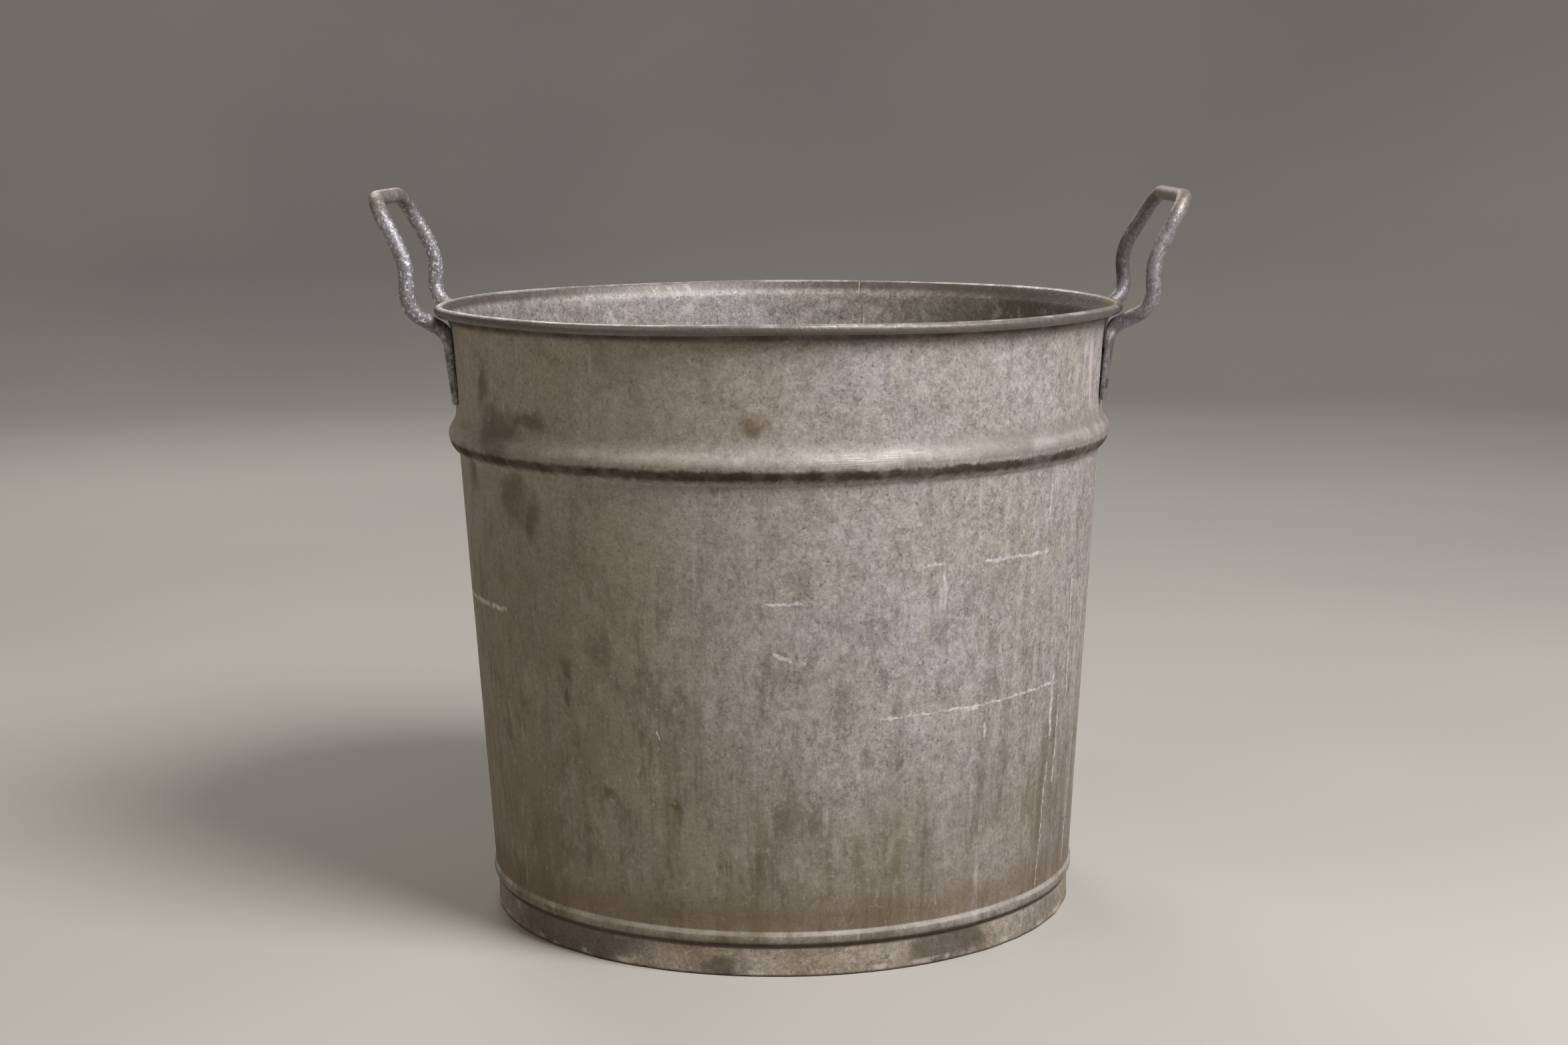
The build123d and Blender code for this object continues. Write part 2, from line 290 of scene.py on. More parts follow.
def weathered_wall():
    """Outside of the tub: streaked, stained and scratched zinc, with painted shade under the beads, under
    the rim roll, on the left side and dulling the lit side of the upper crest, painted highlight on the
    bead crests, and a painted warm reflection on the left side and towards the foot.
    """
    paint = Paint("weathered_zinc_wall", 0.35, 0.6)
    colour, mottle = zinc_mottle(paint, COOL, WARM, DARK, PALE)

    # A duller, greener left side, which is painted shade and a painted warm reflection, and brown flecks
    left = paint.step(paint.azimuth, 0.3, -0.5)
    colour = paint.mix(paint.product(left, 0.42), colour, grey(138, 133, 106))
    flecks = paint.step(paint.noise(95, 4, 0.65, offset=55.0), 0.58, 0.70)
    colour = paint.mix(paint.product(flecks, 0.32), colour, grey(104, 88, 70))

    # Rain streaks, which get browner and stronger towards the foot
    lower = paint.step(paint.height, 0.30, 0.05, 0.15, 1.0)
    streak = paint.step(paint.noise(75, 4, 0.6, (1, 1, 0.07)), 0.44, 0.66)
    patchy = paint.step(paint.noise(11, 4, 0.6, (1, 1, 0.4), 4.0), 0.38, 0.62)
    brown = paint.product(streak, patchy, lower)
    colour = paint.mix(paint.product(brown, 0.58), colour, BROWN)
    # Browner towards the foot: dirt and a painted reflection of a brown floor
    dirt_and_painted_reflection = paint.step(paint.height, 0.19, 0.03, 0.0, 0.68)
    uneven = paint.math("MULTIPLY_ADD", patchy, 0.5, 0.5)
    colour = paint.mix(paint.product(dirt_and_painted_reflection, uneven), colour, grey(109, 100, 77))
    thin = paint.step(paint.noise(210, 4, 0.65, (1, 1, 0.05), 51.0), 0.52, 0.68)
    low_half = paint.step(paint.height, 0.32, 0.12, 0.25, 1.0)
    colour = paint.mix(paint.product(thin, low_half, 0.22), colour, OLIVE)
    pale_run = paint.step(paint.noise(120, 3, 0.6, (1, 1, 0.06), 8.0), 0.60, 0.72)
    pale_area = paint.step(paint.noise(14, 3, 0.5, (1, 1, 0.5), 6.0), 0.50, 0.66)
    limed = paint.blot(paint.warped_map(20, 0.05, 7.0), 70, 352, 56, 52, 0.3)
    limed_run = paint.step(paint.noise(95, 5, 0.65, (1, 1, 0.14), 15.0), 0.48, 0.64)
    pale = paint.highest(
        [paint.product(pale_run, pale_area, 0.5), paint.product(limed, limed_run, 0.6)]
    )
    colour = paint.mix(pale, colour, grey(206, 198, 200))

    # Dark stains, duller sides, damp over the foot at the right and rust spots
    rough_map = paint.warped_map(26, 0.05)
    stains = paint.blots(rough_map, STAINS)
    colour = paint.mix(paint.product(stains, 0.66), colour, OLIVE)
    dull = paint.blots(
        paint.warped_map(12, 0.08, 8.0),
        [(-56, 165, 160, 175, 0.35), (150, 150, 150, 120, 0.35)],
    )
    colour = paint.mix(paint.product(dull, 0.42), colour, grey(108, 98, 74))
    wet_side = paint.blot(rough_map, 62, 66, 52, 78, 0.3)
    wet_runs = paint.math("MULTIPLY_ADD", streak, 0.5, 0.4)
    colour = paint.mix(paint.product(wet_side, wet_runs, 0.5), colour, OLIVE)
    rust = paint.blots(paint.warped_map(60, 0.02, 2.0), RUST_SPOTS)
    colour = paint.mix(paint.product(rust, 0.7), colour, grey(96, 76, 48))

    # Blotches and grit that lie over all of it, strongest in the lower half
    most = paint.step(paint.height, 0.33, 0.16, 0.35, 1.0)
    mossy = paint.step(paint.noise(62, 6, 0.75, (1, 1, 0.4), 59.0), 0.50, 0.64)
    colour = paint.mix(paint.product(mossy, most, 0.42), colour, grey(78, 75, 56))
    dusty = paint.step(paint.noise(72, 6, 0.75, (1, 1, 0.45), 61.0), 0.52, 0.66)
    colour = paint.mix(paint.product(dusty, most, 0.4), colour, grey(164, 158, 148))
    grit = paint.step(paint.noise(280, 3, 0.6, offset=63.0), 0.63, 0.69)
    colour = paint.mix(paint.product(grit, most, 0.32), colour, grey(182, 177, 170))

    # Grime and painted shade in the crease under the upper bead, painted shadow under the rim roll and
    # under the lip of the lower bead, and dirt over the lower bead
    ragged = paint.step(paint.noise(60, 4, 0.6, offset=9.0), 0.30, 0.62, 0.72, 1.0)
    wander = paint.math("SUBTRACT", paint.noise(150, 4, 0.7, offset=57.0), 0.5)
    wavy = paint.math("MULTIPLY_ADD", wander, 0.006, paint.height)
    under_bead = paint.product(band(paint, 308.2, 310.8, 4.6, 3.2, wavy), ragged, 0.92)
    under_rim = paint.product(band(paint, 389.5, 400, 4, 1), ragged, 0.8)
    under_lip = paint.product(band(paint, 10, 20.5, 1, 2), 0.75)
    grime_and_shade = paint.highest([under_bead, under_rim, under_lip])
    colour = paint.mix(grime_and_shade, colour, GRIME_AND_SHADE)
    over_foot = paint.product(band(paint, 29.5, 36, 1, 22), ragged, 0.55)
    colour = paint.mix(over_foot, colour, grey(106, 88, 64))

    # Painted shade that dulls the upper bead's crest on the lit side, worn shoulders of both beads, partly
    # painted highlight, and a long rubbed place on the upper one
    rub = paint.step(paint.noise(34, 4, 0.6, (1, 1, 2), 12.0), 0.36, 0.62)
    sunny = paint.step(paint.azimuth, -0.1, 0.8, 0.25, 1.0)
    unrubbed = paint.math("MULTIPLY_ADD", rub, -0.25, 0.8)
    crest_painted_shade = paint.product(band(paint, 315, 325, 3, 9), sunny, unrubbed)
    colour = paint.mix(crest_painted_shade, colour, grey(122, 115, 110))
    # Pale bead crests, wear and painted highlight; on the lower bead the pale line lies on the shoulder
    # that faces the light
    crest = paint.product(band(paint, 317, 321, 2, 3), rub, 0.16)
    low_crest = paint.product(band(paint, 26.5, 28.2, 1, 1), paint.math("MULTIPLY_ADD", rub, 0.25, 0.1))
    strokes = paint.add("ShaderNodeMapping", paint.map, None, (0, 0, 0.12), (55, 1500, 1))
    rubbed = paint.step(paint.noise(1, 4, 0.6, place=strokes), 0.42, 0.62, 0.25, 1.0)
    polished = paint.blot(paint.warped_map(30, 0.02, 1.0), 13, 319.5, 62, 6.5, 0.1)
    wear_and_highlight = paint.highest([crest, low_crest, paint.product(polished, rubbed, 0.52)])
    colour = paint.mix(wear_and_highlight, colour, grey(214, 208, 206))

    # Scratches and scuffs
    fine_map = paint.warped_map(140, 0.006, 3.0)
    broken = paint.step(paint.noise(170, 4, 0.7, offset=14.0), 0.36, 0.62, 0.15, 1.0)
    marks = paint.highest([paint.scratch(fine_map, *line) for line in SCRATCHES])
    marks = paint.product(marks, broken)
    veins = paint.noise(60, 2, 0.5, (1.6, 1.6, 0.5), 17.0)
    hairlines = paint.product(paint.step(veins, 0.497, 0.503), paint.step(veins, 0.509, 0.503))
    rare = paint.step(paint.noise(16, 2, 0.5, offset=20.0), 0.56, 0.66)
    marks = paint.math("MAXIMUM", marks, paint.product(hairlines, rare, 0.35))
    colour = paint.mix(paint.product(marks, 0.74), colour, grey(216, 213, 215))

    roughness = paint.math("MULTIPLY_ADD", mottle, 0.12, 0.72)
    roughness = paint.math("MULTIPLY_ADD", grime_and_shade, 0.2, roughness)
    roughness = paint.math("MULTIPLY_ADD", wear_and_highlight, -0.1, roughness)
    pits = paint.math("MULTIPLY_ADD", paint.noise(460, 3, 0.6), 0.5, mottle)
    return paint.finish(colour, roughness, pits, 0.0001)


def inner_wall():
    """Inside of the tub and its rim roll: brighter zinc with dull greenish areas, painted shade over its
    right-back part and a painted glint on the roll's top.
    """
    paint = Paint("zinc_inside", 0.45, 0.5)
    light = grey(214, 208, 206)
    colour, mottle = zinc_mottle(paint, grey(150, 147, 146), grey(146, 138, 133), DARK, light, 1.15)
    # Dull greenish areas, and painted shade over the right-back part of the inside
    dull = paint.step(paint.noise(10, 4, 0.6, offset=21.0), 0.50, 0.66)
    shaded = paint.blot(paint.warped_map(14, 0.08, 4.0), 116, 350, 175, 150, 0.3)
    dull = paint.math("MAXIMUM", paint.product(dull, 0.4), paint.product(shaded, 0.72))
    colour = paint.mix(dull, colour, grey(88, 86, 74))
    flowers = paint.step(paint.noise(70, 6, 0.75, offset=23.0), 0.50, 0.64)
    area = paint.step(paint.noise(7, 3, 0.5, offset=25.0), 0.42, 0.58)
    colour = paint.mix(paint.product(flowers, area, 0.5), colour, grey(200, 192, 190))
    drawn = paint.step(paint.noise(20, 5, 0.6, (1, 1, 0.4)), 0.38, 0.6)
    tide = band(paint, 20, 60, 5, 60)
    colour = paint.mix(paint.product(tide, drawn, 0.6), colour, BROWN)

    # The rim roll, darker than the wall, with a pale line on top that is partly wear and partly a painted
    # glint. It is lower at the right.
    drop = paint.math("MAXIMUM", paint.x, 0)
    level = paint.math("MULTIPLY_ADD", paint.product(drop, drop), 0.026, paint.height)
    roll = band(paint, 393.5, 402, 4, 1, level)
    colour = paint.mix(paint.product(roll, 0.85), colour, grey(92, 86, 80))
    worn = paint.step(paint.noise(44, 5, 0.65, offset=27.0), 0.44, 0.64)
    # Pale line on the roll's top: painted glint, partly wear
    top = paint.product(band(paint, 397.3, 402, 0.9, 1, level), paint.math("MULTIPLY_ADD", worn, 0.6, 0.25))
    colour = paint.mix(top, colour, grey(186, 182, 178))
    olive_end = paint.blot(paint.warped_map(30, 0.03, 4.0), 88, 398, 50, 12)
    colour = paint.mix(paint.product(olive_end, 0.6), colour, grey(134, 120, 74))
    roughness = paint.math("MULTIPLY_ADD", mottle, 0.14, 0.62)
    roughness = paint.math("MULTIPLY_ADD", roll, -0.14, roughness)
    pits = paint.math("MULTIPLY_ADD", paint.noise(520, 4, 0.7), 0.5, mottle)
    return paint.finish(colour, roughness, pits, 0.00015)


def foot_zinc():
    """Foot band: dull zinc with sooty and brown patches, a scraped lower edge, painted shade under the
    wall's lip and a painted contact shadow along the floor.
    """
    paint = Paint("worn_zinc_foot", 0.35, 0.6)
    colour, mottle = zinc_mottle(paint, grey(158, 149, 139), grey(149, 136, 120), DARK, PALE)
    place = paint.warped_map(40, 0.03, 6.0)
    soot = paint.highest(
        [
            paint.blot(place, -44, 12, 88, 16, 0.5),
            paint.blot(place, 32, 10, 34, 17, 0.6),
            paint.blot(place, -12, 6, 22, 9, 0.3),
            paint.product(paint.blot(place, 62, 8, 50, 16, 0.3), 0.5),
            paint.blot(place, 104, 10, 40, 10),
            paint.blot(place, -142, 10, 60, 12),
        ]
    )
    colour = paint.mix(paint.product(soot, 0.68), colour, grey(62, 56, 50))
    mud = paint.step(paint.noise(30, 5, 0.65, offset=29.0), 0.46, 0.66)
    colour = paint.mix(paint.product(mud, 0.45), colour, BROWN)
    scrapes = paint.step(paint.noise(50, 4, 0.6, offset=31.0), 0.52, 0.62)
    scraped = paint.product(band(paint, 1.5, 3.5, 1, 2), scrapes)
    colour = paint.mix(paint.product(scraped, 0.5), colour, grey(206, 198, 188))
    # Painted shade at the band's top, under the wall's lip, and a painted contact shadow along its lower
    # edge
    edges = paint.math("MAXIMUM", band(paint, 18.5, 26, 1.5, 1), band(paint, -1, 0.6, 1, 1.6))
    colour = paint.mix(paint.product(edges, 0.75), colour, GRIME_AND_SHADE)
    roughness = paint.math("MULTIPLY_ADD", mottle, 0.12, 0.6)
    return paint.finish(colour, roughness, mottle, 0.0002)


def floor_zinc():
    """Bottom disc: dull, with rust and dried feed dust round its edge."""
    paint = Paint("stained_zinc_bottom", 0.3, 0.65)
    colour, mottle = zinc_mottle(paint, grey(140, 138, 132), grey(138, 122, 104), DARK, PALE, 1.2)
    square = paint.math("ADD", paint.product(paint.x, paint.x), paint.product(paint.y, paint.y))
    edge = paint.step(paint.math("SQRT", square), 0.13, 0.19)
    dust = paint.step(paint.noise(16, 6, 0.7, offset=33.0), 0.42, 0.60)
    stain = paint.math("MAXIMUM", paint.product(edge, 0.75), paint.product(dust, 0.5))
    colour = paint.mix(stain, colour, grey(100, 76, 52))
    rust = paint.step(paint.noise(26, 6, 0.7, offset=35.0), 0.58, 0.68)
    colour = paint.mix(paint.product(rust, 0.6), colour, grey(112, 66, 38))
    roughness = paint.math("MULTIPLY_ADD", stain, 0.15, 0.6)
    return paint.finish(colour, roughness, mottle, 0.0003)


def bar_zinc():
    """Handle bars: blue-grey zinc with pale blooms, and grips worn brown."""
    paint = Paint("zinc_bar", 0.55, 0.4)
    dark, light = grey(66, 62, 60), grey(228, 230, 236)
    colour, mottle = zinc_mottle(paint, grey(142, 142, 148), grey(126, 123, 124), dark, light, 0.8)
    bloom = paint.step(paint.noise(420, 3, 0.6, offset=37.0), 0.555, 0.615)
    spread = paint.step(paint.noise(34, 3, 0.6, offset=47.0), 0.36, 0.56, 0.45, 1.0)
    left = paint.step(paint.x, 0.05, -0.05, 0.2, 1.0)
    colour = paint.mix(paint.product(bloom, spread, left, 0.85), colour, grey(240, 240, 244))
    # Darker, browner patches on the back leg of the right handle
    back = paint.step(paint.y, -0.02, 0.05)
    dark_patches = paint.step(paint.noise(42, 4, 0.6, offset=49.0), 0.34, 0.62, 0.2, 1.0)
    right = paint.step(paint.x, -0.05, 0.05)
    colour = paint.mix(paint.product(back, dark_patches, right, 0.55), colour, grey(66, 56, 48))
    grip = paint.step(paint.height, 0.452, 0.464)
    worn = paint.step(paint.noise(60, 4, 0.6, offset=39.0), 0.34, 0.58, 0.35, 1.0)
    colour = paint.mix(paint.product(grip, worn, 0.6), colour, grey(132, 116, 94))
    foot = paint.step(paint.height, 0.386, 0.372)
    dirt = paint.step(paint.noise(90, 4, 0.6, offset=41.0), 0.40, 0.62)
    colour = paint.mix(paint.product(foot, dirt, 0.5), colour, OLIVE)
    roughness = paint.math("MULTIPLY_ADD", mottle, 0.10, 0.52)
    pits = paint.math("MULTIPLY_ADD", paint.noise(500, 3, 0.6), 0.4, mottle)
    return paint.finish(colour, roughness, pits, 0.00025)


def rusty(name, base, rust_share):
    """Bare steel wire and rivets, partly rusted."""
    paint = Paint(name, 0.6, 0.5)
    colour, mottle = zinc_mottle(paint, base, grey(112, 100, 88), DARK, PALE, 1.2)
    rust = paint.step(paint.noise(180, 5, 0.7, offset=43.0), 0.62 - rust_share, 0.72 - rust_share)
    colour = paint.mix(paint.product(rust, 0.8), colour, grey(96, 60, 38))
    roughness = paint.math("MULTIPLY_ADD", rust, 0.25, 0.48)
    return paint.finish(colour, roughness, mottle, 0.0002)


# ---------------------------------------------------------------- meshes


CREASE = 38  # degrees: edges that turn more than this stay sharp


def make_mesh(name, points, faces, materials, material_of=None):
    """Smooth-shaded object from points in mm, with outward normals. Each piece rides on the body."""
    mesh = bpy.data.meshes.new(name)
    mesh.from_pydata((np.asarray(points) * MM).tolist(), [], faces)
    for material in materials:
        mesh.materials.append(material)
    if material_of is not None:
        mesh.polygons.foreach_set("material_index", material_of)
    shape = bmesh.new()
    shape.from_mesh(mesh)
    bmesh.ops.remove_doubles(shape, verts=shape.verts, dist=1e-6)
    bmesh.ops.recalc_face_normals(shape, faces=shape.faces)
    if shape.calc_volume(signed=True) < 0:
        bmesh.ops.reverse_faces(shape, faces=shape.faces)
    shape.to_mesh(mesh)
    shape.free()
    mesh.shade_smooth()
    mesh.set_sharp_from_angle(angle=radians(CREASE))
    piece = bpy.data.objects.new(name, mesh)
    SCENE.objects.link(piece)
    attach(piece, "root")
    return piece


def lathe(name, section, azimuths, shift, materials, material_of=None):
    """Turns a closed section of (radius, height) points round the axis. shift moves each point, and
    material_of gives each part of the section its place in materials."""
    section = np.asarray(section, float)
    turn, radius = np.meshgrid(np.radians(azimuths), section[:, 0], indexing="ij")
    height = np.broadcast_to(section[:, 1], radius.shape)
    out, up = shift(turn, radius, height)
    radius, height = radius + np.where(radius > 1, out, 0), height + up
    points = np.stack([radius * np.sin(turn), -radius * np.cos(turn), height], -1)
    rows, columns = radius.shape
    here = np.arange(rows * columns).reshape(rows, columns)
    after, beside = np.roll(here, -1, 0), np.roll(here, -1, 1)
    quads = np.stack([here, after, np.roll(after, -1, 1), beside], -1).reshape(-1, 4)
    if material_of is not None:
        material_of = np.tile(material_of, rows)
    return make_mesh(name, points.reshape(-1, 3), quads.tolist(), materials, material_of)


def arc(centre, radius, start, end, count):
    """Points on an arc, from one angle in degrees to another."""
    angles = np.radians(np.linspace(start, end, count))
    return np.stack([centre[0] + radius * np.cos(angles), centre[1] + radius * np.sin(angles)], -1)


def softened(line, reach, bend=9.0, longest=6.0):
    """The line with its corners eased over about reach mm, and only the points that it needs."""
    line = np.asarray(line, float)
    runs = np.linalg.norm(np.diff(line, axis=0), axis=1)
    along = np.concatenate([[0], np.cumsum(runs)])
    pitch = 0.2
    places = np.linspace(0, along[-1], int(along[-1] / pitch) + 1)
    dense = np.stack([np.interp(places, along, line[:, k]) for k in range(line.shape[1])], -1)
    width = int(3 * reach / pitch)
    weights = np.exp(-0.5 * (np.arange(-width, width + 1) * pitch / reach) ** 2)
    weights /= weights.sum()
    ahead = 2 * dense[0] - dense[width:0:-1]
    behind = 2 * dense[-1] - dense[-2 : -width - 2 : -1]
    padded = np.concatenate([ahead, dense, behind])
    smooth = np.stack([np.convolve(padded[:, k], weights, "valid") for k in range(line.shape[1])], -1)
    ways = np.diff(smooth, axis=0)
    ways /= np.linalg.norm(ways, axis=1)[:, None]
    kept = [0]
    turned = 0.0
    for index in range(1, len(ways)):
        turned += degrees(acos(min(1.0, float(ways[index] @ ways[index - 1]))))
        if turned > bend or (index - kept[-1]) * pitch > longest:
            kept.append(index)
            turned = 0.0
    kept.append(len(smooth) - 1)
    return smooth[kept]


# ---------------------------------------------------------------- how the old sheet has moved


def ripple(turn, height, seed, waves, around, climb, size):
    """Sum of waves round the tub, each with a whole number of crests and its own slant."""
    draw = np.random.default_rng(seed)
    total = np.zeros(np.broadcast(turn, height).shape)
    for _ in range(waves):
        crests = draw.integers(around[0], around[1] + 1)
        slant = draw.uniform(-climb, climb)
        total = total + np.cos(crests * turn + slant * height + draw.uniform(0, 2 * np.pi))
    return total * size / sqrt(waves / 2)


# Dents: azimuth, height and radius in mm, depth in mm (inwards)
DENTS = [
    (-52, 262, 34, 0.9),
    (-24, 352, 26, 0.7),
    (8, 352, 22, 0.5),
    (33, 210, 40, 0.8),
    (-15, 120, 46, 0.7),
    (58, 96, 30, 0.9),
    (-72, 150, 36, 1.0),
    (48, 356, 20, 0.6),
    (112, 220, 44, 1.4),
    (150, 110, 36, 1.1),
    (-110, 300, 26, 0.9),
    (-140, 170, 50, 1.5),
    (-168, 352, 22, 0.9),
    (178, 236, 30, 0.8),
]


def sheet_shift(turn, radius, height):
    """How far the sheet stands out of its true shape, and how far its beads wander up or down."""
    out = ripple(turn, height, 3, 3, (2, 3), 0.002, 0.45)
    free = np.clip((height - 30) / 60, 0, 1) * np.clip((398 - height) / 20, 0.25, 1)
    out = out + free * ripple(turn, height, 5, 9, (4, 11), 0.015, 0.14)
    out = out + free * ripple(turn, height, 7, 24, (18, 60), 0.12, 0.03)
    azimuth = np.degrees(turn)
    for centre, level, size, depth in DENTS:
        across = (azimuth - centre + 180) % 360 - 180
        distance = np.hypot(np.radians(across) * MEAN_RADIUS, height - level) / size
        out = out - depth * np.exp(-2 * distance**2)
    near_bead = np.exp(-(((height - 318) / 16) ** 2))
    up = near_bead * ripple(turn, 0 * height, 9, 5, (2, 7), 0, 0.22)
    near_rim = np.clip((height - 380) / 10, 0, 1)
    right = np.clip(np.sin(turn), 0, 1) ** 2
    out = out + near_rim * 0.8 * right
    up = up - near_rim * 1.3 * right
    up = up + near_rim * ripple(turn, 0 * height, 13, 4, (2, 6), 0, 0.2)
    return out, up


# ---------------------------------------------------------------- tub wall

SHEET = 1.0
LEAN_DEGREES = 3.51
LEAN = radians(LEAN_DEGREES)
WALL_TOP = (215.8, 387.5)  # radius and height of the bend where the wall flares out to the rim
BEAD_HEIGHT = 315.5  # the upper bead's crest
BEAD_PROUD = 6.0
UNDER_RADIUS = 15.0  # below the crest, down to the crease
OVER_RADIUS = 9.0  # above it
BLEND_RADIUS = 14.0  # the hollow that leads back to the wall
BLEND_TURN = 42.36  # degrees that the section turns before the hollow, and back in it
LOWER_BEAD_CENTRE = (187.635, 24.5)
LOWER_BEAD_RADIUS = 7.5
WIRE_CENTRE = (221.75, 394.75)
WIRE_RADIUS = 2.2
CURL_RADIUS = 2.25  # inside of the curled edge round the wire
FLARE_ANGLE = 64.5  # degrees above level at which the wall flares out to the curl
SEAM_AZIMUTH = 165.0  # the lock seam of the wall and the lap of the foot band


def past_seam(turn):
    """Distance in mm from the seam's azimuth back towards the front, along the wall."""
    return (SEAM_AZIMUTH - np.degrees(turn)) * radians(1) * MEAN_RADIUS


def wall_radius(height, depth=0.0):
    """Radius of the plain wall at a depth under its outside face."""
    return WALL_TOP[0] - (WALL_TOP[1] - height) * tan(LEAN) - depth / cos(LEAN)


def meets_wall(centre, radius, depth, way):
    """Angle where an arc runs into the wall's line, below (-1) or above (+1) the arc's centre."""
    angles = np.radians(np.linspace(0, way * 90, 1800))
    gap = wall_radius(centre[1] + radius * np.sin(angles), depth) - centre[0] - radius * np.cos(angles)
    return degrees(angles[np.argmax(gap > 0)])


def wall_line(depth):
    """Section of the wall at a depth under its outside face, from its lip to its curled edge."""
    crest = wall_radius(BEAD_HEIGHT) + BEAD_PROUD
    under_centre = (crest - UNDER_RADIUS, BEAD_HEIGHT)
    over_centre = (crest - OVER_RADIUS, BEAD_HEIGHT)
    top = meets_wall(LOWER_BEAD_CENTRE, LOWER_BEAD_RADIUS - depth, depth, 1)
    crease = meets_wall(under_centre, UNDER_RADIUS - depth, depth, -1)
    over_end = BLEND_TURN - LEAN_DEGREES
    over = arc(over_centre, OVER_RADIUS - depth, 0, over_end, 12)
    blend_centre = arc(over_centre, OVER_RADIUS + BLEND_RADIUS, over_end, over_end, 1)[0]
    blend = arc(blend_centre, BLEND_RADIUS + depth, 180 + over_end, 180 - LEAN_DEGREES, 10)
    curl = arc(WIRE_CENTRE, CURL_RADIUS + depth, 90 + FLARE_ANGLE, -140, 40)
    way = np.array([cos(radians(FLARE_ANGLE)), sin(radians(FLARE_ANGLE))])
    overhang = curl[0, 0] - wall_radius(curl[0, 1], depth)
    flare_start = curl[:1] - way * overhang / (way[0] - way[1] * tan(LEAN))
    line = [
        arc(LOWER_BEAD_CENTRE, LOWER_BEAD_RADIUS - depth, -41.8, top, 12),
        arc(under_centre, UNDER_RADIUS - depth, crease, 0, 14),
        over[1:],
        blend[1:],
        flare_start,
        curl,
    ]
    return softened(np.concatenate(line), 0.55)


def wall_azimuths():
    """Even steps round the tub, with fine ones at the seam."""
    seam = SEAM_AZIMUTH - np.arange(-0.35, 2.5, 0.08)
    even = np.arange(-180, 180, 0.75)
    even = even[(even < seam.min() - 0.2) | (even > seam.max() + 0.2)]
    return np.sort(np.concatenate([even, seam]))


outer_line = wall_line(0.0)
inner_line = wall_line(SHEET)[::-1]
wall_section = np.concatenate([outer_line, inner_line])
on_outside = np.arange(len(wall_section)) < len(outer_line)


def wall_shift(turn, radius, height):
    """The sheet's own shift, plus the folded lock seam: a strip outside, a groove inside and a notch
    in the rim roll."""
    out, up = sheet_shift(turn, radius, height)
    along = past_seam(turn)
    ends = np.clip((height - 31) / 1.5, 0, 1) * np.clip((385 - height) / 1.5, 0, 1)
    strip = np.clip((along + 0.25) / 0.3, 0, 1) * np.clip((7.9 - along) / 1.3, 0, 1)
    fold = np.exp(-(((along - 1.7) / 0.45) ** 2))
    groove = np.exp(-(((along - 6.6) / 0.5) ** 2))
    outside = np.broadcast_to(on_outside, radius.shape)
    out = out + np.where(outside, ends * (1.35 * strip - 0.3 * fold), -0.35 * groove * ends)
    notch = np.exp(-(((along - 3.5) / 0.7) ** 2)) * np.clip((height - 388) / 3, 0, 1)
    up = up - 0.9 * notch
    return out, up


wall_shell = lathe(
    "wall_shell",
    wall_section,
    wall_azimuths(),
    wall_shift,
    [weathered_wall(), inner_wall()],
    material_of=np.where(on_outside, 0, 1),
)
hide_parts("body_wall")

wire_section = arc(WIRE_CENTRE, WIRE_RADIUS, 0, 345, 24)
rim_core = lathe(
    "rim_core",
    wire_section,
    np.arange(-180, 180, 1.5),
    sheet_shift,
    [rusty("rim_wire_steel", grey(110, 104, 98), 0.10)],
)
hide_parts("rim_wire")


# ---------------------------------------------------------------- bottom and foot band


DISC_RADIUS = 193.9
DISC_HEIGHT = 24.0  # underside of its edge
PANEL = [(0, 3), (176, 3), (180, 0)]  # radius and rise of the raised middle, out to its foot
FOOT_RADIUS = 192.38
FOOT_SHEET = 1.2
FOOT_TOP = 23.98
HEM_HEIGHT = 7.0
HEM_GAP = 0.2
FOOT_LAP = 18.3  # overlap of the band's ends, with its gap


def disc_shift(turn, radius, height):
    """Slack in the bottom disc, none at its edge, which moves with the wall round it."""
    inner = np.clip((176 - radius) / 60, 0, 1)
    draw = np.random.default_rng(17)
    east, north = radius * np.sin(turn), radius * np.cos(turn)
    up = np.zeros(radius.shape)
    for _ in range(14):
        way, length = draw.uniform(0, 2 * np.pi), draw.uniform(60, 190)
        phase = draw.uniform(0, 2 * np.pi)
        up = up + np.sin(2 * np.pi * (east * cos(way) + north * sin(way)) / length + phase)
    up = up * 0.22 * inner
    out, _ = sheet_shift(turn, radius, np.full(radius.shape, DISC_HEIGHT))
    return out * np.clip(radius / 194, 0, 1) ** 2, up


def disc_line(height):
    """Corners of one face of the disc, from its middle to its edge at that height."""
    return [(radius, height + rise) for radius, rise in PANEL] + [(DISC_RADIUS, height)]


disc_under = softened(disc_line(DISC_HEIGHT), 1.2, 7.0, 9.0)
disc_over = softened(disc_line(DISC_HEIGHT + SHEET)[::-1], 1.2, 7.0, 9.0)
bottom = lathe(
    "bottom",
    np.concatenate([disc_under, disc_over]),
    np.arange(-180, 180, 1.5),
    disc_shift,
    [floor_zinc()],
)
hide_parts("bottom_disc")

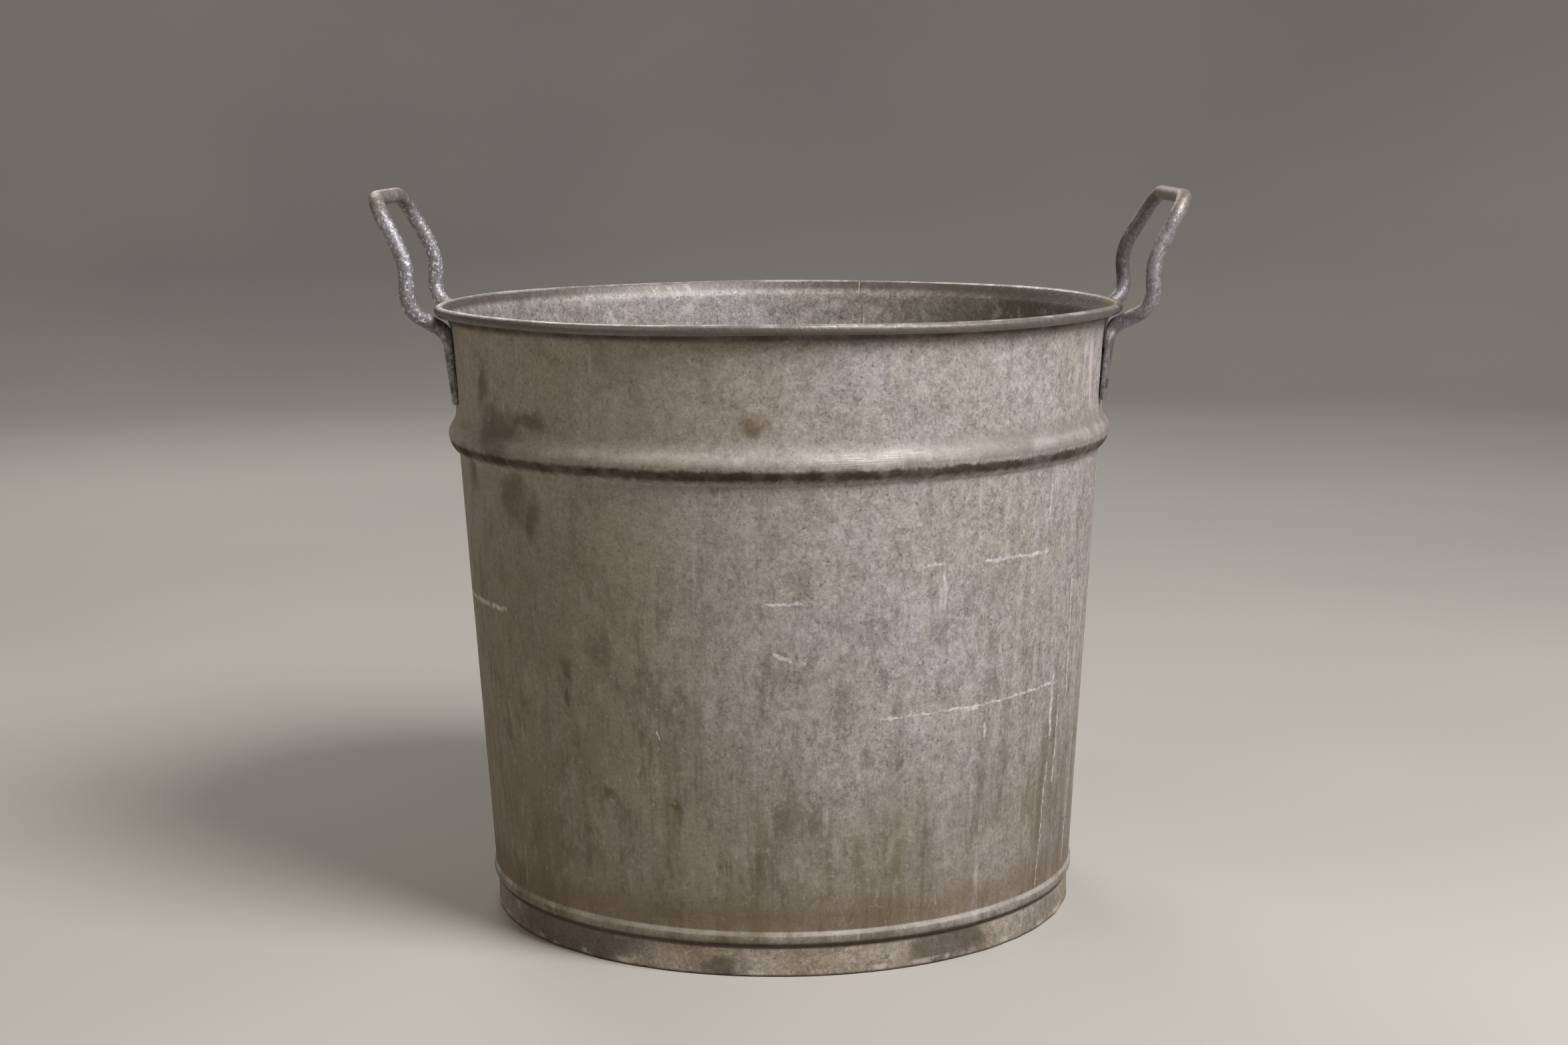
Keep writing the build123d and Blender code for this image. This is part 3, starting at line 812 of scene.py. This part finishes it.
foot_inside = FOOT_RADIUS - FOOT_SHEET
hem_outside = foot_inside - HEM_GAP
hem_inside = hem_outside - FOOT_SHEET
band_loop = np.concatenate(
    [
        [(FOOT_RADIUS, height) for height in (FOOT_TOP, 18.0, 12.0, 6.0, 3.0)],
        arc((foot_inside, FOOT_SHEET), FOOT_SHEET, 0, -90, 6),
        arc((hem_outside, FOOT_SHEET), FOOT_SHEET, -90, -180, 6),
        [(hem_inside, 4.0), (hem_inside, HEM_HEIGHT), (hem_outside, HEM_HEIGHT), (hem_outside, 1.5)],
        [(foot_inside, height) for height in (1.5, 8.0, 16.0, FOOT_TOP)],
    ]
)


def foot_shift(turn, radius, height):
    """The wall's own shift, small knocks along the lower edge, and the lap of the band's ends."""
    out, _ = sheet_shift(turn, radius, np.full(radius.shape, 20.0))
    low = np.clip((16 - height) / 12, 0, 1)
    out = out + low * (ripple(turn, height, 19, 14, (9, 46), 0.05, 0.14) - 0.1)
    nicks = np.clip(ripple(turn, 0 * height, 21, 20, (30, 90), 0, 1.0) - 1.7, 0, 1)
    up = np.clip((5 - height) / 5, 0, 1) * 0.5 * nicks
    along = (SEAM_AZIMUTH - np.degrees(turn)) * radians(1) * 192
    lap = np.clip(along / 0.3, 0, 1) * np.clip((FOOT_LAP - along) / 0.3, 0, 1)
    inside = radius < FOOT_RADIUS - 1.1
    line = np.exp(-(((along - 0.2) / 0.4) ** 2))
    return out + np.where(inside, -0.6 * lap, -0.3 * line), up


def foot_azimuths():
    """Even steps round the foot, with fine ones at the lap's two ends."""
    fine = SEAM_AZIMUTH - np.concatenate([np.arange(-0.3, 0.4, 0.06), np.arange(5.1, 5.8, 0.06)])
    even = np.arange(-180, 180, 0.75)
    clear = np.min(np.abs(even[:, None] - fine[None, :]), axis=1) > 0.2
    return np.sort(np.concatenate([even[clear], fine]))


foot_band = lathe("foot_band", band_loop, foot_azimuths(), foot_shift, [foot_zinc()])
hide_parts("foot_ring")


# ---------------------------------------------------------------- handles

FOOT_AZIMUTH = radians(14.03)  # the rear foot's middle, from +X
FOOT_HEIGHT = 356.9  # of the same
FOOT_HALF_WIDTH = 7.4
FOOT_END_HALF = 1.2  # half the thickness at the foot's lower end
FOOT_CORNER = 5.0
FOOT_CORNERS = [(-21.2, 1.45), (17.5, 2.8), (26.5, 4.6)]  # up the foot and off the wall
ELBOW = Vector((236.3, 68.5, 397.6))
SHOULDER = Vector((234.9, 68, 426.0))
GRIP = Vector((256.8, 62.8, 466.5))
PITCH = 1.6  # between the points along a bar


def foot_point(up, off, across=0.0):
    """Point on the right handle's rear foot: mm up the foot, off the wall's face, and across."""
    out = Vector((cos(FOOT_AZIMUTH), sin(FOOT_AZIMUTH), 0))
    side = Vector((-sin(FOOT_AZIMUTH), cos(FOOT_AZIMUTH), 0))
    rise = out * sin(LEAN) + Vector((0, 0, cos(LEAN)))
    face = out * cos(LEAN) - Vector((0, 0, sin(LEAN)))
    origin = out * wall_radius(FOOT_HEIGHT) + Vector((0, 0, FOOT_HEIGHT))
    return origin + rise * up + face * off + side * across


def run_points(start, end):
    """Points along a straight run, without its start."""
    steps = max(1, int((end - start).length / PITCH))
    return [start.lerp(end, k / steps) for k in range(1, steps + 1)]


def rounded(points, radii):
    """Points along the runs between corners, with each corner turned on an arc of its radius."""
    path = [points[0]]
    for before, corner, after, radius in zip(points, points[1:], points[2:], radii):
        back, ahead = (before - corner).normalized(), (after - corner).normalized()
        half = back.angle(ahead) / 2
        cut = radius / tan(half)
        start, end = corner + back * cut, corner + ahead * cut
        centre = corner + (back + ahead).normalized() * radius / sin(half)
        path += run_points(path[-1], start)
        steps = max(3, int(radius * (np.pi - 2 * half) / PITCH) + 1)
        first, last = start - centre, end - centre
        for k in range(1, steps):
            path.append(centre + first.slerp(last, k / steps).normalized() * radius)
        path.append(end)
    return path + run_points(path[-1], points[-1])


def handle_path(rear, front, lift, in_or_out, bends):
    """Centreline from the rear foot's end over the grip to the front foot's end. rear and front
    are small offsets (x, y, z) of the elbow, shoulder and grip corners from their true places, lift
    and in_or_out move them all, and bends has the radii from the rear elbow to the front one."""
    legs = []
    for sway in (rear, front):
        foot = [foot_point(*corner) for corner in FOOT_CORNERS]
        moved = Vector((in_or_out, 0, lift))
        upper = [place + Vector(off) + moved for place, off in zip((ELBOW, SHOULDER, GRIP), sway)]
        legs.append(foot + upper)
    other = [Vector((corner.x, -corner.y, corner.z)) for corner in reversed(legs[1])]
    return rounded(legs[0] + other, [14, 7] + bends + [7, 14])


def bar(name, path, side, seed, bar_radius):
    """Sweeps a hammered section along the path: flat at both feet, round in between. side is 1 for
    the right handle and -1 for the left one, which is turned over to -X."""
    points = np.array([[p.x, p.y, p.z] for p in path])
    runs = np.linalg.norm(np.diff(points, axis=0), axis=1)
    along = np.concatenate([[0], np.cumsum(runs)])
    total = along[-1]
    ends = [0.0, 0.15, 0.5, 1.1, 1.9, 2.9, 4.0]
    inside = along[(along > 5) & (along < total - 5)]
    places = np.concatenate([ends, inside, total - np.array(ends[::-1])])
    points = np.stack([np.interp(places, along, points[:, k]) for k in range(3)], -1)
    tangents = np.gradient(points, places, axis=0)
    tangents /= np.linalg.norm(tangents, axis=1)[:, None]
    width_way = np.array([-sin(FOOT_AZIMUTH), cos(FOOT_AZIMUTH), 0.0])
    draw = np.random.default_rng(seed)
    phases = draw.uniform(0, 2 * np.pi, (4, 3))
    rings = []
    count = 28
    angles = np.linspace(0, 2 * np.pi, count, endpoint=False)
    previous = width_way
    for place, point, tangent in zip(places, points, tangents):
        previous = previous - tangent * (previous @ tangent)
        previous /= np.linalg.norm(previous)
        across, off = previous, np.cross(tangent, previous)
        near = min(place, total - place)
        flat = 1 - np.clip((near - 37) / 12, 0, 1)
        flat = flat * flat * (3 - 2 * flat)
        half_width = bar_radius + flat * (FOOT_HALF_WIDTH - bar_radius)
        half_thick = bar_radius + flat * (FOOT_END_HALF + 0.02 * near - bar_radius)
        waist = np.exp(-(((near - 47) / 8) ** 2)) * 0.35
        half_width -= waist
        corner = max(0.0, FOOT_CORNER - near)
        half_width -= FOOT_CORNER - sqrt(FOOT_CORNER**2 - corner**2)
        edge = max(0.0, 1 - near / FOOT_END_HALF)
        half_thick *= 1 - 0.35 * edge**2
        power = 2 / (2 + 2.6 * flat)  # below 1 squares the section off
        knocks = sum(
            0.05 * np.sin(place / (9 - 2 * k) + phases[k][0] + (k + 1) * np.sin(angles + phases[k][1]))
            for k in range(4)
        )
        u = np.sign(np.cos(angles)) * np.abs(np.cos(angles)) ** power * (half_width + knocks)
        v = np.sign(np.sin(angles)) * np.abs(np.sin(angles)) ** power * (half_thick + knocks)
        rings.append(point + u[:, None] * across + v[:, None] * off)
    rings = np.array(rings)
    rings[..., 0] *= side
    faces = []
    for row in range(len(rings) - 1):
        for k in range(count):
            a, b = row * count + k, row * count + (k + 1) % count
            faces.append([a, b, b + count, a + count])
    last = (len(rings) - 1) * count
    faces.append(list(range(count)))
    faces.append(list(range(last, last + count)))
    piece = make_mesh(name, rings.reshape(-1, 3), faces, [BAR])
    return piece


BAR = bar_zinc()
right_path = handle_path(
    [(0.5, 0.5, 0.0), (-1.5, -0.5, 1.0), (0.5, -1.0, 0.5)],
    [(0.0, 0.0, 0.0), (0.5, 0.0, 0.0), (0.0, 0.0, 0.0)],
    -1.8,
    0.6,
    [15, 36, 22, 17, 48, 17],
)
left_path = handle_path(
    [(0.0, 0.0, 0.0), (0.0, 0.5, 0.0), (0.0, 0.0, 0.0)],
    [(0.0, 0.0, 0.0), (0.5, 0.0, 0.0), (0.0, 0.5, 0.0)],
    0.9,
    -1.4,
    [17, 48, 24, 24, 50, 17],
)
handle_right = bar("handle_right", right_path, 1, 31, 4.8)
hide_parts("right_handle")
handle_left = bar("handle_left", left_path, -1, 33, 4.95)
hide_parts("left_handle")


# ---------------------------------------------------------------- rivets


RIVET = rusty("rivet_steel", grey(120, 118, 114), 0.06)


def rivets(name, node, side):
    """Four rivets: a flattened head on each foot and a low domed head inside the wall."""
    draw = np.random.default_rng(41 + side)
    count = 24
    points, faces = [], []
    for front in (1, -1):
        for up, face in ((-10, 3.25), (10, 4.35)):
            base = len(points)
            profile = [
                *((0, face + 0.5), (1.6, face + 0.47), (2.9, face + 0.36), (3.6, face + 0.15)),
                *((3.9, face - 0.1), (3.8, face - 0.4), (2.5, face - 1.0), (2.5, -0.9)),
                *((4.6, -0.95), (4.85, -1.2), (4.7, -1.7), (4.0, -2.35)),
                *((2.9, -2.8), (1.5, -3.05), (0, -3.1)),
            ]
            tilt = draw.uniform(-0.25, 0.25, 2)
            wobble = draw.uniform(0, 2 * np.pi)
            for radius, off in profile:
                for k in range(count):
                    angle = 2 * np.pi * k / count
                    r = radius * (1 + 0.03 * sin(3 * angle + wobble))
                    lift = off + 0.02 * r * (tilt[0] * cos(angle) + tilt[1] * sin(angle))
                    spot = foot_point(up + r * sin(angle), lift, r * cos(angle))
                    points.append((side * spot.x, front * spot.y, spot.z))
            for row in range(len(profile) - 1):
                for k in range(count):
                    a, b = base + row * count + k, base + row * count + (k + 1) % count
                    faces.append([a, b, b + count, a + count])
    piece = make_mesh(name, points, faces, [RIVET])
    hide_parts(node)


rivets("rivets_right", "right_handle_rivets", 1)
rivets("rivets_left", "left_handle_rivets", -1)


# ---------------------------------------------------------------- stage and light


def stage_bowl():
    """Pale floor whose edge curves up all round, so that every view has a plain ground."""
    flat, bend, top = 3.2, 1.6, 5.0
    curve = arc((flat, bend), bend, -90, 0, 16)
    line = np.concatenate([[(0.4, 0), (1.6, 0)], curve, [(flat + bend, top)]])
    turns = np.radians(np.arange(0, 360, 5))
    points = [(r * cos(t), r * sin(t), z) for t in turns for r, z in line]
    count = len(line)
    faces = []
    for row in range(len(turns)):
        after = (row + 1) % len(turns)
        for k in range(count - 1):
            faces.append([row * count + k, after * count + k, after * count + k + 1, row * count + k + 1])
    faces.append([row * count for row in reversed(range(len(turns)))])
    mesh = bpy.data.meshes.new("stage_floor")
    mesh.from_pydata(points, [], faces)
    mesh.shade_smooth()
    paint = Paint("stage_pale", 0.0, 0.85, 0.2)
    cloud = paint.step(paint.noise(1.2, 2, 0.5), 0.3, 0.7)
    colour = paint.mix(cloud, (0.40, 0.38, 0.355, 1), (0.43, 0.41, 0.38, 1))
    paint.link(colour, paint.surface.inputs["Base Color"])
    mesh.materials.append(paint.material)
    floor = bpy.data.objects.new("stage_floor", mesh)
    SCENE.objects.link(floor)


def soft_light(name, place, target, size, power, colour):
    data = bpy.data.lights.new(name, "AREA")
    data.shape = "DISK"
    data.size = size
    data.energy = power
    data.color = colour
    lamp = bpy.data.objects.new(name, data)
    SCENE.objects.link(lamp)
    lamp.location = place
    lamp.rotation_euler = (Vector(target) - Vector(place)).to_track_quat("-Z", "Y").to_euler()


stage_bowl()
soft_light("key", (1.45, -1.3, 2.2), (0, 0, 0.25), 1.3, 110, (1.0, 0.98, 0.97))
soft_light("fill", (-2.5, -1.3, 1.7), (0, 0, 0.2), 1.6, 14, (1.0, 0.84, 0.64))
soft_light("back", (-0.8, 2.4, 2.2), (0, 0, 0.3), 1.6, 36, (1.0, 0.98, 0.96))

world = bpy.data.worlds.new("studio")
world.use_nodes = True
background = world.node_tree.nodes["Background"]
background.inputs["Color"].default_value = (0.95, 0.96, 1.0, 1)
background.inputs["Strength"].default_value = 0.17
bpy.context.scene.world = world
bpy.context.scene.view_settings.view_transform = "Standard"
